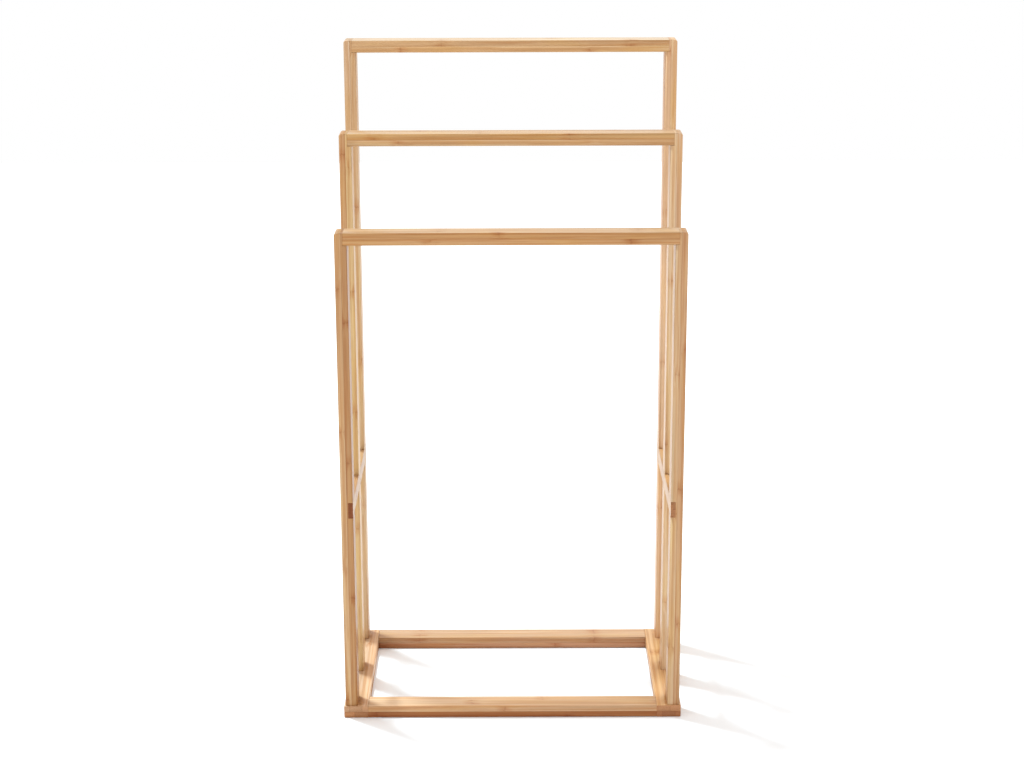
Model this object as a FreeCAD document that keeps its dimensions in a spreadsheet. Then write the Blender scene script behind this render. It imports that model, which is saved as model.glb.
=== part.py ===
import FreeCAD, Part
import math
import os
import Sketcher
from FreeCAD import Placement, Rotation, Vector

# Free-standing rack with three rails for towels, in laminated bamboo.
# A flat base frame carries three upright frames, the lowest at the front.
# Millimetres. +Z is up, X runs along the towel bars and the lowest frame
# faces -Y. The origin is the middle of the base, on the floor.

doc = FreeCAD.newDocument("TowelRack")

# ---------------------------------------------------------------- dimensions
dimensions = [
    ("base_width", 420, "base frame, side to side"),
    ("base_depth", 250, "base frame, front to back"),
    ("rail_wide", 30, "base rail, its flat width"),
    ("rail_tall", 15, "base rail, its height"),
    ("post_wide", 30, "post, front to back"),
    ("post_thick", 15, "post, side to side"),
    ("post_inset", 2, "step from the base's edge to the posts, all round"),
    ("low_top", 615, "floor to the top of the front towel bar"),
    ("tier_rise", 100, "each frame stands this much over the one before it"),
    ("bar_wide", 30, "towel bar, front to back"),
    ("bar_tall", 15, "towel bar, its height"),
    ("bar_seat", 5, "rabbet in the post's top that the bar's end sits in"),
    ("slat_top", 282, "floor to the top edge of the side stretchers"),
    ("slat_tall", 20, "side stretcher, its height"),
    ("slat_thick", 6, "side stretcher, let flush into the posts"),
    ("edge_round", 1, "eased long edges of every stick"),
    ("corner_round", 3, "outer top corner of each post"),
    ("frame_screw", 5, "shank of the screws through the side frames"),
    ("frame_head", 9.5, "their countersunk head"),
    ("bar_screw_long", 50, "screw into the end of a towel bar"),
    ("rail_screw_long", 65, "screw into the end of a base rail"),
    ("foot_screw", 4, "shank of the screws up into the posts"),
    ("foot_head", 8, "their countersunk head"),
    ("foot_screw_long", 50, "screw up through the base into a post"),
    ("foot_spread", 20, "between the two screws under one post"),
    ("key_size", 3, "hexagon socket, across flats"),
    ("key_deep", 2, "hexagon socket, depth"),
    ("tip_long", 4, "pointed end of each screw"),
    ("tip_flat", 0.8, "diameter left at the point"),
    ("head_sink", 0.3, "screw heads sit this far below the wood"),
    ("shank_gap", 0.15, "clearance round a shank in the outer piece"),
    ("end_gap", 0.5, "room past the end of a screw, dowel or pin"),
    ("dowel_dia", 6, "dowels beside each base rail screw"),
    ("dowel_long", 24, "half in each piece"),
    ("dowel_spread", 19, "between the two dowels of one corner"),
    ("pin_dia", 1.4, "steel pins that hold the side stretchers"),
    ("pin_long", 13, "through the stretcher into the post"),
    ("pin_spread", 14, "between the two pins at one post"),
]

sheet = doc.addObject("Spreadsheet::Sheet", "dims")
for row, (name, size, note) in enumerate(dimensions, start=1):
    sheet.set("A%d" % row, name)
    sheet.set("B%d" % row, str(size))
    sheet.set("C%d" % row, note)
    sheet.setAlias("B%d" % row, name)
doc.recompute()

# Formulas used in more than one place. The local X of a post, side rail and
# stretcher points inwards, so one formula serves the left and the right side.
post_y = "(dims.base_depth / 2 - dims.post_inset - dims.post_wide / 2)"
post_x = "(dims.base_width / 2 - dims.post_inset - dims.post_thick / 2)"
side_rail_x = "(dims.base_width / 2 - dims.rail_wide / 2)"
cross_rail_y = "(dims.base_depth / 2 - dims.rail_wide / 2)"
slat_x = "(dims.base_width / 2 - dims.post_inset - dims.post_thick + dims.slat_thick / 2)"
slat_z = "(dims.slat_top - dims.slat_tall / 2)"
bar_length = "(dims.base_width - 2 * (dims.post_inset + dims.post_thick - dims.bar_seat))"
cross_rail_length = "(dims.base_width - 2 * dims.rail_wide)"
tiers = [("front", -1, 0), ("middle", 0, 1), ("back", 1, 2)]
sides = [("left", -1), ("right", 1)]

nodes = []
near = 0.001    # lengths and volumes closer than this count as equal


def tier_top(step):
    return "(dims.low_top + %d * dims.tier_rise)" % step


def measure(formula):
    """Number that a formula on the sheet gives now."""
    return float(sheet.evalExpression(formula))


def bind(item, **formulas):
    for name, formula in formulas.items():
        item.setExpression(name, formula)


def place(item, x, y, z, rotation=None):
    item.Placement = Placement(Vector(), rotation or Rotation())
    for axis, formula in zip("xyz", (x, y, z)):
        item.setExpression("Placement.Base." + axis, formula)


def new_body(label):
    body = doc.addObject("PartDesign::Body", label)
    body.Label = label
    nodes.append(body)
    return body


# ------------------------------------------------------------------- sketches
def new_sketch(body, plane, name, offset="0"):
    """Sketch on one of the body's own planes, moved along its normal."""
    sketch = body.newObject("Sketcher::SketchObject", name)
    support = [item for item in body.Origin.OriginFeatures if item.Role == plane][0]
    sketch.AttachmentSupport = (support, [""])
    sketch.MapMode = "FlatFace"
    sketch.setExpression("AttachmentOffset.Base.z", offset)
    return sketch


def fix_point(sketch, line, end, x, y):
    """Hold one end of a line, or a circle's centre, at a place from the sheet."""
    for kind, formula in (("DistanceX", x), ("DistanceY", y)):
        if formula is not None:
            size = measure(formula)
            held = sketch.addConstraint(Sketcher.Constraint(kind, -1, 1, line, end, size))
            sketch.setExpression("Constraints[%d]" % held, formula)


def rectangle(sketch, left, right, low, high):
    x0, x1, y0, y1 = [measure(formula) for formula in (left, right, low, high)]
    corners = [Vector(x0, y0), Vector(x1, y0), Vector(x1, y1), Vector(x0, y1)]
    first = sketch.GeometryCount
    for side in range(4):
        sketch.addGeometry(Part.LineSegment(corners[side], corners[(side + 1) % 4]))
    for side in range(4):
        turn = first + (side + 1) % 4
        sketch.addConstraint(Sketcher.Constraint("Coincident", first + side, 2, turn, 1))
        straight = ("Horizontal", "Vertical")[side % 2]
        sketch.addConstraint(Sketcher.Constraint(straight, first + side))
    fix_point(sketch, first, 1, left, low)
    fix_point(sketch, first + 2, 1, right, high)


def circles(sketch, diameter, centres):
    size = measure(diameter)
    for x, y in centres:
        middle = Vector(measure(x), measure(y))
        circle = sketch.addGeometry(Part.Circle(middle, Vector(0, 0, 1), size / 2))
        fix_point(sketch, circle, 3, x, y)
        held = sketch.addConstraint(Sketcher.Constraint("Diameter", circle, size))
        sketch.setExpression("Constraints[%d]" % held, diameter)


# ------------------------------------------------------------------- features
def pad(body, sketch, length):
    feature = body.newObject("PartDesign::Pad", sketch.Name + "_pad")
    feature.Profile = sketch
    feature.SideType = "Symmetric"
    bind(feature, Length=length)
    doc.recompute()


def ease(body, chosen, radius):
    """Round the edges that chosen(edge) picks on the body as it stands."""
    names = []
    for number, edge in enumerate(body.Shape.Edges, start=1):
        if chosen(edge):
            names.append("Edge%d" % number)
    blank = body.Tip
    feature = body.newObject("PartDesign::Fillet", body.Name + "_eased")
    feature.Base = (blank, names)
    bind(feature, Radius=radius)
    doc.recompute()


def cut(body, feature, before):
    """Recompute and make sure that a cut has taken wood away."""
    doc.recompute()
    if body.Shape.Volume > before - near:
        raise RuntimeError(feature.Name + " cuts nothing")


def notch(body, sketch):
    before = body.Shape.Volume
    feature = body.newObject("PartDesign::Pocket", sketch.Name + "_pocket")
    feature.Profile = sketch
    feature.Type = "ThroughAll"
    feature.SideType = "Symmetric"
    cut(body, feature, before)


def drill(body, plane, name, offset, diameter, centres, depth=None, head=None, reverse=False):
    """Round holes from a plane: through, or to a depth, countersunk for a head."""
    before = body.Shape.Volume
    sketch = new_sketch(body, plane, name, offset)
    circles(sketch, diameter, centres)
    doc.recompute()
    feature = body.newObject("PartDesign::Hole", name + "_hole")
    feature.Profile = sketch
    feature.Reversed = reverse
    feature.DrillPoint = "Flat"
    feature.DepthType = "Dimension" if depth else "ThroughAll"
    if depth:
        bind(feature, Depth=depth)
    bind(feature, Diameter=diameter)
    if head:
        feature.HoleCutType = "Countersink"
        feature.HoleCutCustomValues = True
        feature.HoleCutCountersinkAngle = 90
        bind(feature, HoleCutDiameter="%s + 2 * dims.head_sink" % head)
    cut(body, feature, before)


def long_edges(axis):
    """Picks the four edges that run the length of a stick."""
    def chosen(edge):
        ends = [vertex.Point for vertex in edge.Vertexes]
        run = (ends[1] - ends[0]).normalize() if len(ends) == 2 else Vector()
        return abs(run.dot(axis)) > 1 - near
    return chosen


def stick(label, plane, across, tall, length, axis):
    """Straight stick with its long edges eased, centred on its own origin."""
    body = new_body(label)
    sketch = new_sketch(body, plane, label + "_section")
    half_across = across + " / 2"
    half_tall = tall + " / 2"
    rectangle(sketch, "-" + half_across, half_across, "-" + half_tall, half_tall)
    pad(body, sketch, length)
    ease(body, long_edges(axis), "dims.edge_round")
    return body


# ----------------------------------------------------------------- base frame
frame_bore = "dims.frame_screw + 2 * dims.shank_gap"
foot_bore = "dims.foot_screw + 2 * dims.shank_gap"
dowel_bore_deep = "dims.dowel_long / 2 + dims.end_gap"


def dowel_places(y):
    half = "dims.dowel_spread / 2"
    return [("%s - %s" % (y, half), "0"), ("%s + %s" % (y, half), "0")]


def end_holes(body, length, name, diameter, centres, depth):
    """The same holes in both ends of a stick that runs along X."""
    for side, sign in sides:
        offset = "%d * %s / 2" % (sign, length)
        drill(body, "YZ_Plane", "%s_%s" % (name, side), offset, diameter, centres,
              depth=depth, reverse=sign < 0)


rail_screw_in = "dims.rail_screw_long + dims.head_sink - dims.rail_wide + dims.end_gap"
for name, sign in (("front", -1), ("back", 1)):
    rail = stick("base_%s_rail" % name, "YZ_Plane", "dims.rail_wide", "dims.rail_tall",
                 cross_rail_length, Vector(1, 0, 0))
    end_holes(rail, cross_rail_length, rail.Name + "_screw", "dims.frame_screw",
              [("0", "0")], rail_screw_in)
    end_holes(rail, cross_rail_length, rail.Name + "_dowel", "dims.dowel_dia",
              dowel_places("0"), dowel_bore_deep)
    place(rail, "0", "%d * %s" % (sign, cross_rail_y), "dims.rail_tall / 2")

for name, sign in sides:
    rail = stick("base_side_rail_" + name, "XZ_Plane", "dims.rail_wide", "dims.rail_tall",
                 "dims.base_depth", Vector(0, 1, 0))
    foot_x = "dims.post_inset + dims.post_thick / 2 - dims.rail_wide / 2"
    feet = []
    for tier, step_y, step_z in tiers:
        for way in (-1, 1):
            feet.append((foot_x, "%d * %s + %d * dims.foot_spread / 2" % (step_y, post_y, way)))
    drill(rail, "XY_Plane", rail.Name + "_feet", "-dims.rail_tall / 2", foot_bore, feet,
          head="dims.foot_head", reverse=True)
    drill(rail, "YZ_Plane", rail.Name + "_screws", "-dims.rail_wide / 2", frame_bore,
          [("-" + cross_rail_y, "0"), (cross_rail_y, "0")], head="dims.frame_head", reverse=True)
    drill(rail, "YZ_Plane", rail.Name + "_dowels", "dims.rail_wide / 2", "dims.dowel_dia",
          dowel_places("-" + cross_rail_y) + dowel_places(cross_rail_y), depth=dowel_bore_deep)
    place(rail, "%d * %s" % (sign, side_rail_x), "0", "dims.rail_tall / 2",
          Rotation(Vector(0, 0, 1), 0 if sign < 0 else 180))

# ---------------------------------------------------------------- three frames
foot_screw_in = "dims.foot_screw_long + dims.head_sink - dims.rail_tall + dims.end_gap"
bar_screw_in = ("dims.bar_screw_long + dims.head_sink - dims.post_thick + dims.bar_seat"
                " + dims.end_gap")
pin_in = "dims.pin_long - dims.slat_thick + dims.end_gap"


def outline(sketch, top):
    """Upright of a post: its outer top corner is round, and inside is +X."""
    wide = measure("dims.post_thick")
    high = measure(top)
    turn = measure("dims.corner_round")
    left = -wide / 2
    points = [Vector(left, 0), Vector(-left, 0), Vector(-left, high),
              Vector(left + turn, high), Vector(left, high - turn)]
    for start, end in ((0, 1), (1, 2), (2, 3), (4, 0)):
        sketch.addGeometry(Part.LineSegment(points[start], points[end]))
    circle = Part.Circle(Vector(left + turn, high - turn), Vector(0, 0, 1), turn)
    arc = sketch.addGeometry(Part.ArcOfCircle(circle, math.pi / 2, math.pi))
    for line, following in ((0, 1), (1, 2), (3, 0)):
        sketch.addConstraint(Sketcher.Constraint("Coincident", line, 2, following, 1))
    sketch.addConstraint(Sketcher.Constraint("Tangent", 2, 2, arc, 1))
    sketch.addConstraint(Sketcher.Constraint("Tangent", arc, 2, 3, 1))
    for line in (0, 2):
        sketch.addConstraint(Sketcher.Constraint("Horizontal", line))
    for line in (1, 3):
        sketch.addConstraint(Sketcher.Constraint("Vertical", line))
    held = sketch.addConstraint(Sketcher.Constraint("Radius", arc, turn))
    sketch.setExpression("Constraints[%d]" % held, "dims.corner_round")
    fix_point(sketch, 0, 1, "-dims.post_thick / 2", "0")
    fix_point(sketch, 1, 2, "dims.post_thick / 2", top)


def face_edges(edge):
    """Picks the edges round the front and back faces, except at the foot."""
    box = edge.BoundBox
    on_face = box.YLength < near and abs(abs(box.YMin) - measure("dims.post_wide") / 2) < near
    return on_face and box.ZMax > near


for tier, step_y, step_z in tiers:
    top = "(%s - dims.rail_tall)" % tier_top(step_z)
    for name, sign in sides:
        post = new_body("post_%s_%s" % (tier, name))
        sketch = new_sketch(post, "XZ_Plane", post.Name + "_outline")
        outline(sketch, top)
        pad(post, sketch, "dims.post_wide")
        ease(post, face_edges, "dims.edge_round")
        seats = new_sketch(post, "XZ_Plane", post.Name + "_seats")
        past = "dims.post_thick"
        rectangle(seats, "dims.post_thick / 2 - dims.bar_seat", past,
                  top + " - dims.bar_tall", top + " + dims.bar_tall")
        slat_low = "dims.slat_top - dims.slat_tall - dims.rail_tall"
        rectangle(seats, "dims.post_thick / 2 - dims.slat_thick", past,
                  slat_low, "dims.slat_top - dims.rail_tall")
        notch(post, seats)
        drill(post, "YZ_Plane", post.Name + "_bar", "-dims.post_thick / 2", frame_bore,
              [("0", top + " - dims.bar_tall / 2")], head="dims.frame_head", reverse=True)
        half_feet = "dims.foot_spread / 2"
        drill(post, "XY_Plane", post.Name + "_foot", "0", "dims.foot_screw",
              [("0", "-" + half_feet), ("0", half_feet)], depth=foot_screw_in, reverse=True)
        pin_height = slat_z + " - dims.rail_tall"
        half_pins = "dims.pin_spread / 2"
        drill(post, "YZ_Plane", post.Name + "_pins", "dims.post_thick / 2 - dims.slat_thick",
              "dims.pin_dia", [("-" + half_pins, pin_height), (half_pins, pin_height)], depth=pin_in)
        place(post, "%d * %s" % (sign, post_x), "%d * %s" % (step_y, post_y),
              "dims.rail_tall", Rotation(Vector(0, 0, 1), 0 if sign < 0 else 180))

    bar = stick("towel_bar_" + tier, "YZ_Plane", "dims.bar_wide", "dims.bar_tall",
                bar_length, Vector(1, 0, 0))
    end_holes(bar, bar_length, bar.Name + "_screw", "dims.frame_screw", [("0", "0")],
              bar_screw_in)
    place(bar, "0", "%d * %s" % (step_y, post_y), tier_top(step_z) + " - dims.bar_tall / 2")

# ------------------------------------------------------------ side stretchers
for name, sign in sides:
    slat = stick("side_stretcher_" + name, "XZ_Plane", "dims.slat_thick", "dims.slat_tall",
                 "dims.base_depth - 2 * dims.post_inset", Vector(0, 1, 0))
    pins = []
    for tier, step_y, step_z in tiers:
        for way in (-1, 1):
            pins.append(("%d * %s + %d * dims.pin_spread / 2" % (step_y, post_y, way), "0"))
    drill(slat, "YZ_Plane", slat.Name + "_pins", "dims.slat_thick / 2", "dims.pin_dia", pins)
    place(slat, "%d * %s" % (sign, slat_x), "0", slat_z,
          Rotation(Vector(0, 0, 1), 0 if sign < 0 else 180))


# ------------------------------------------------------------------ fasteners
def screw_pattern(name, shank, head, length):
    """Countersunk screw with a hexagon socket: head at its origin, point at +Z."""
    head_tall = "(%s - %s) / 2" % (head, shank)
    top = doc.addObject("Part::Cone", name + "_head")
    bind(top, Radius1=head + " / 2", Radius2=shank + " / 2", Height=head_tall)
    stem = doc.addObject("Part::Cylinder", name + "_stem")
    bind(stem, Radius=shank + " / 2", Height="%s - dims.tip_long - %s" % (length, head_tall))
    stem.setExpression("Placement.Base.z", head_tall)
    tip = doc.addObject("Part::Cone", name + "_tip")
    bind(tip, Radius1=shank + " / 2", Radius2="dims.tip_flat / 2", Height="dims.tip_long")
    tip.setExpression("Placement.Base.z", length + " - dims.tip_long")
    whole = doc.addObject("Part::MultiFuse", name + "_whole")
    whole.Shapes = [top, stem, tip]
    key = doc.addObject("Part::Prism", name + "_key")
    key.Polygon = 6
    bind(key, Circumradius="dims.key_size / sqrt(3)", Height="dims.key_deep")
    pattern = doc.addObject("Part::Cut", name)
    pattern.Base = whole
    pattern.Tool = key
    return pattern


def rod_pattern(name, diameter, length):
    pattern = doc.addObject("Part::Cylinder", name)
    bind(pattern, Radius=diameter + " / 2", Height=length)
    return pattern


def fasteners(label, pattern, places):
    """One node that holds the same fastener at every place it is used."""
    links = []
    for number, (x, y, z, rotation) in enumerate(places, start=1):
        link = doc.addObject("App::Link", "%s_%d" % (label, number))
        link.LinkedObject = pattern
        place(link, x, y, z, rotation)
        links.append(link)
    group = doc.addObject("Part::Compound", label)
    group.Label = label
    group.Links = links
    nodes.append(group)


inwards = {-1: Rotation(Vector(0, 1, 0), 90), 1: Rotation(Vector(0, 1, 0), -90)}
outwards = {-1: inwards[1], 1: inwards[-1]}

bar_places = []
rail_places = []
dowel_spots = []
foot_places = []
pin_places = []
for name, sign in sides:
    post_face = "%d * (dims.base_width / 2 - dims.post_inset - dims.head_sink)" % sign
    rail_face = "%d * (dims.base_width / 2 - dims.head_sink)" % sign
    dowel_end = "%d * (dims.base_width / 2 - dims.rail_wide + dims.dowel_long / 2)" % sign
    slat_face = "%d * (dims.base_width / 2 - dims.post_inset - dims.post_thick)" % sign
    for tier, step_y, step_z in tiers:
        tier_y = "%d * %s" % (step_y, post_y)
        bar_z = tier_top(step_z) + " - dims.bar_tall / 2"
        bar_places.append((post_face, tier_y, bar_z, inwards[sign]))
        for way in (-1, 1):
            foot_y = "%s + %d * dims.foot_spread / 2" % (tier_y, way)
            foot_places.append(("%d * %s" % (sign, post_x), foot_y, "dims.head_sink", None))
            pin_y = "%s + %d * dims.pin_spread / 2" % (tier_y, way)
            pin_places.append((slat_face, pin_y, slat_z, outwards[sign]))
    for end in (-1, 1):
        rail_y = "%d * %s" % (end, cross_rail_y)
        rail_places.append((rail_face, rail_y, "dims.rail_tall / 2", inwards[sign]))
        for way in (-1, 1):
            dowel_y = "%s + %d * dims.dowel_spread / 2" % (rail_y, way)
            dowel_spots.append((dowel_end, dowel_y, "dims.rail_tall / 2", inwards[sign]))

bar_screw = screw_pattern("bar_screw", "dims.frame_screw", "dims.frame_head", "dims.bar_screw_long")
rail_screw = screw_pattern("rail_screw", "dims.frame_screw", "dims.frame_head", "dims.rail_screw_long")
foot_screw = screw_pattern("foot_screw", "dims.foot_screw", "dims.foot_head", "dims.foot_screw_long")
dowel = rod_pattern("dowel", "dims.dowel_dia", "dims.dowel_long")
pin = rod_pattern("pin", "dims.pin_dia", "dims.pin_long")

fasteners("towel_bar_screws", bar_screw, bar_places)
fasteners("base_rail_screws", rail_screw, rail_places)
fasteners("base_rail_dowels", dowel, dowel_spots)
fasteners("post_foot_screws", foot_screw, foot_places)
fasteners("stretcher_pins", pin, pin_places)

# ---------------------------------------------------------- check, then write
doc.recompute()
for item in doc.Objects:
    if "Invalid" in item.State or "Error" in item.State:
        raise RuntimeError("%s did not recompute: %s" % (item.Name, item.State))

os.makedirs("parts", exist_ok=True)
for node in nodes:
    shape = node.Shape
    if shape.isNull() or not shape.isValid():
        raise RuntimeError(node.Label + " has no valid shape")
    shape.exportStep("parts/%s.step" % node.Label)
    box = shape.BoundBox
    print("%-22s %2d solids %9.1f mm3  x %.1f %.1f  y %.1f %.1f  z %.1f %.1f" % (
        node.Label, len(shape.Solids), shape.Volume,
        box.XMin, box.XMax, box.YMin, box.YMax, box.ZMin, box.ZMax))
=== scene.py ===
import math

import bmesh
import bpy
from mathutils import Euler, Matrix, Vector


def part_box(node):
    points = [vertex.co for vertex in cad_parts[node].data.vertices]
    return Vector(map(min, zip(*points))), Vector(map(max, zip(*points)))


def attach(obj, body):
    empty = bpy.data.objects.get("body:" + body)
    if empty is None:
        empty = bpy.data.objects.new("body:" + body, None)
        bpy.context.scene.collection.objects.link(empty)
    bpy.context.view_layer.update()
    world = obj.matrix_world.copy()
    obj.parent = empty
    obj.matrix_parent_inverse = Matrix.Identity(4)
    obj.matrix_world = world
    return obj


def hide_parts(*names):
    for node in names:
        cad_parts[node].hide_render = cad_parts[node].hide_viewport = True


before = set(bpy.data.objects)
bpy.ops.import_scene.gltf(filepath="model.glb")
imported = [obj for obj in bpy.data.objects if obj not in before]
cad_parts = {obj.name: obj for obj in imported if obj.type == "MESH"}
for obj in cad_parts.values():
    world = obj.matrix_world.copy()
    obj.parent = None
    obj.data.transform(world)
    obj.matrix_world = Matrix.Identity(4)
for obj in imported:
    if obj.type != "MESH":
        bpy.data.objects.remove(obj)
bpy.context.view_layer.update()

# Stepped towel rack in laminated bamboo. Every stick is pressed from two plies,
# and the screws, dowels and pins that hold it together are real pieces.

body = "root"
mergeDistance = 1e-6    # metres: points of the CAD triangles closer than this are one point


def rgb(red, green, blue):
    # screen colour, 0 to 255, as the linear colour that a shader wants
    linear = []
    for value in (red, green, blue):
        share = value / 255
        linear.append(share / 12.92 if share <= 0.04045 else ((share + 0.055) / 1.055) ** 2.4)
    return (*linear, 1.0)


def addNode(tree, kind, **settings):
    node = tree.nodes.new(kind)
    for name, value in settings.items():
        setattr(node, name, value)
    return node


def feed(tree, socket, source):
    # a socket takes another node's output, or a plain value
    if isinstance(source, bpy.types.NodeSocket):
        tree.links.new(source, socket)
    else:
        socket.default_value = source


def maths(tree, operation, first, second=0.0, third=0.0):
    node = addNode(tree, "ShaderNodeMath", operation=operation)
    for socket, source in zip(node.inputs, (first, second, third)):
        feed(tree, socket, source)
    return node.outputs[0]


def ramp(tree, value, low, high, toLow, toHigh, smooth=True):
    node = addNode(tree, "ShaderNodeMapRange")
    node.interpolation_type = "SMOOTHSTEP" if smooth else "LINEAR"
    for name, source in (("Value", value), ("From Min", low), ("From Max", high),
                         ("To Min", toLow), ("To Max", toHigh)):
        feed(tree, node.inputs[name], source)
    return node.outputs["Result"]


def mixColor(tree, share, first, second, blend="MIX"):
    node = addNode(tree, "ShaderNodeMix", data_type="RGBA", blend_type=blend)
    for socket, source in zip((node.inputs[0], node.inputs[6], node.inputs[7]),
                              (share, first, second)):
        feed(tree, socket, source)
    return node.outputs[2]


def scaled(tree, color, share):
    # a colour made lighter or darker by one number
    grey = addNode(tree, "ShaderNodeCombineColor")
    for socket in grey.inputs:
        feed(tree, socket, share)
    return mixColor(tree, 1.0, color, grey.outputs[0], "MULTIPLY")


def tinted(tree, share, color, tint):
    # a colour multiplied by a tint, as far as share says
    return mixColor(tree, share, color, mixColor(tree, 1.0, color, tint, "MULTIPLY"))


def stretched(tree, parts, scales):
    # a vector whose three parts are scaled one by one
    node = addNode(tree, "ShaderNodeCombineXYZ")
    for socket, part, scale in zip(node.inputs, parts, scales):
        feed(tree, socket, maths(tree, "MULTIPLY", part, scale))
    return node.outputs[0]


def noise(tree, vector, detail, roughness=0.55):
    node = addNode(tree, "ShaderNodeTexNoise")
    feed(tree, node.inputs["Vector"], vector)
    node.inputs["Scale"].default_value = 1.0
    node.inputs["Detail"].default_value = detail
    node.inputs["Roughness"].default_value = roughness
    return node.outputs["Fac"]


def drawn(tree, parts):
    # random numbers that hang on three numbers only, so that a strip or a ring keeps its own
    cell = addNode(tree, "ShaderNodeCombineXYZ")
    for socket, source in zip(cell.inputs, parts):
        feed(tree, socket, source)
    node = addNode(tree, "ShaderNodeTexWhiteNoise", noise_dimensions="3D")
    feed(tree, node.inputs["Vector"], cell.outputs[0])
    return node.outputs


def bumped(tree, height, strength, distance):
    node = addNode(tree, "ShaderNodeBump")
    node.inputs["Strength"].default_value = strength
    node.inputs["Distance"].default_value = distance
    feed(tree, node.inputs["Height"], height)
    return node.outputs["Normal"]


# Lengths are in metres. Waves are per metre along the grain, then across it. Tones are the
# brightness where a noise is low, then where it is high. A share says how far a tint goes.
bamboo = {
    "stripWide": 0.0155,            # strips lie side by side across a board's wide face
    "plyShift": 0.41,               # strips of the high ply lie over by this share of a strip
    "strayAlong": 3.7,              # each strip takes its pattern from another stretch of grain
    "frontAt": 0.98,                # the front strip is the one at this share of the half width
    "squareOn": (0.75, 0.92),       # how squarely a face looks along an axis before it counts

    "knotGap": 0.236,               # between two growth rings of one strip
    "knotPlaces": (0.03, -0.08),    # front rings of the low and the high ply, unless a look says
    "knotReach": (0.001, 0.015),    # the smudge of a ring is full up to here and gone there
    "knotStrength": (0.25, 1.0),
    "frontStrength": 0.8,           # rings of the front strip are at least this strong
    "coreReach": (0.0004, 0.0017),  # the dark line in the middle of a ring
    "rippleWaves": (70, 330),
    "ripple": 0.009,                # how far a ring strays along the grain
    "blotchWaves": (45, 210),
    "blotchRange": (0.40, 0.60),
    "blotchTones": (0.15, 1.0),

    "bendWaves": (16, 70),
    "bend": 0.0016,                 # how far the fibres wander
    "knotBend": 0.006,              # how much further beside a ring
    "bendReach": 0.024,
    "streakWaves": (4, 300),
    "fibreWaves": (22, 1500),
    "fibreRoughness": 0.65,         # how rough the fibres' noise is
    "cloudWaves": (9, 60),

    "noiseRange": (0.30, 0.70),
    "stripTones": (0.92, 1.08),
    "streakTones": (0.84, 1.14),
    "fibreTones": (0.92, 1.07),
    "cloudTones": (0.94, 1.06),
    "ruddyRange": (0.36, 0.58),     # dark streaks are ruddier
    "ruddyShare": 0.7,
    "ruddyTint": rgb(252, 222, 190),
    "yellowRange": (0.5, 0.66),     # pale clouds are yellower
    "yellowShare": 0.5,
    "yellowTint": rgb(250, 250, 225),
    "smudgeShare": 0.55,
    "smudgeTint": rgb(218, 172, 128),
    "coreShare": 0.32,
    "coreTint": rgb(178, 122, 80),
    "glueReach": (0.00015, 0.0005),     # line between two plies, from the middle of the stick
    "glueShare": 0.16,
    "glueTint": rgb(170, 120, 80),
    "jointReach": (0.0003, 0.00084),    # line round the end of a stick, where it meets another
    "jointShare": 0.3,
    "jointTint": rgb(150, 98, 64),
    # painted light: a tint for the wide faces, standing in for how the lamps fall on them
    "paintedLightTint": (1.0, 1.0, 1.0),    # wide faces, unless a look says

    "sawnEnd": rgb(226, 214, 200),  # sawn ends, unless a look says
    "sawnTones": (0.82, 1.14),      # from strip to strip
    "poreWaves": (40, 1150),
    "poreRange": (0.18, 0.46),
    "poreShare": 0.5,
    "poreTint": rgb(186, 142, 104),
    "edgeRange": (0.010, 0.026),    # line between two strips, in strips
    "edgeShare": 0.5,
    "edgeTint": rgb(160, 110, 74),

    "roughness": 0.42,
    "roughnessSwing": 0.16,
    "varnish": 0.15,
    "varnishRoughness": 0.30,
    "shine": 0.11,                  # specular level of the bare bamboo
    "bump": 0.00004,                # height of the fibres
    "bumpStrength": 0.6,
    "knotRaise": 0.5,               # rings stand up by this share of the fibres' height
}


def isAlong(tree, normal, axis):
    # gives 1 where a face looks along the axis, either way
    dot = addNode(tree, "ShaderNodeVectorMath", operation="DOT_PRODUCT")
    feed(tree, dot.inputs[0], normal)
    feed(tree, dot.inputs[1], axis)
    return ramp(tree, maths(tree, "ABSOLUTE", dot.outputs["Value"]), *bamboo["squareOn"], 0.0, 1.0)


def grainNoise(tree, parts, waves, detail, roughness=0.55):
    # noise drawn out along the grain
    along, across = waves
    return noise(tree, stretched(tree, parts, (along, across, across)), detail, roughness)


def grainTone(tree, value, tones):
    # brightness from a noise
    return ramp(tree, value, *bamboo["noiseRange"], *tones, smooth=False)


def chanceTone(tree, chance, tones):
    # brightness from a random number, 0 to 1
    return ramp(tree, chance, 0.0, 1.0, *tones, smooth=False)


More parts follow.
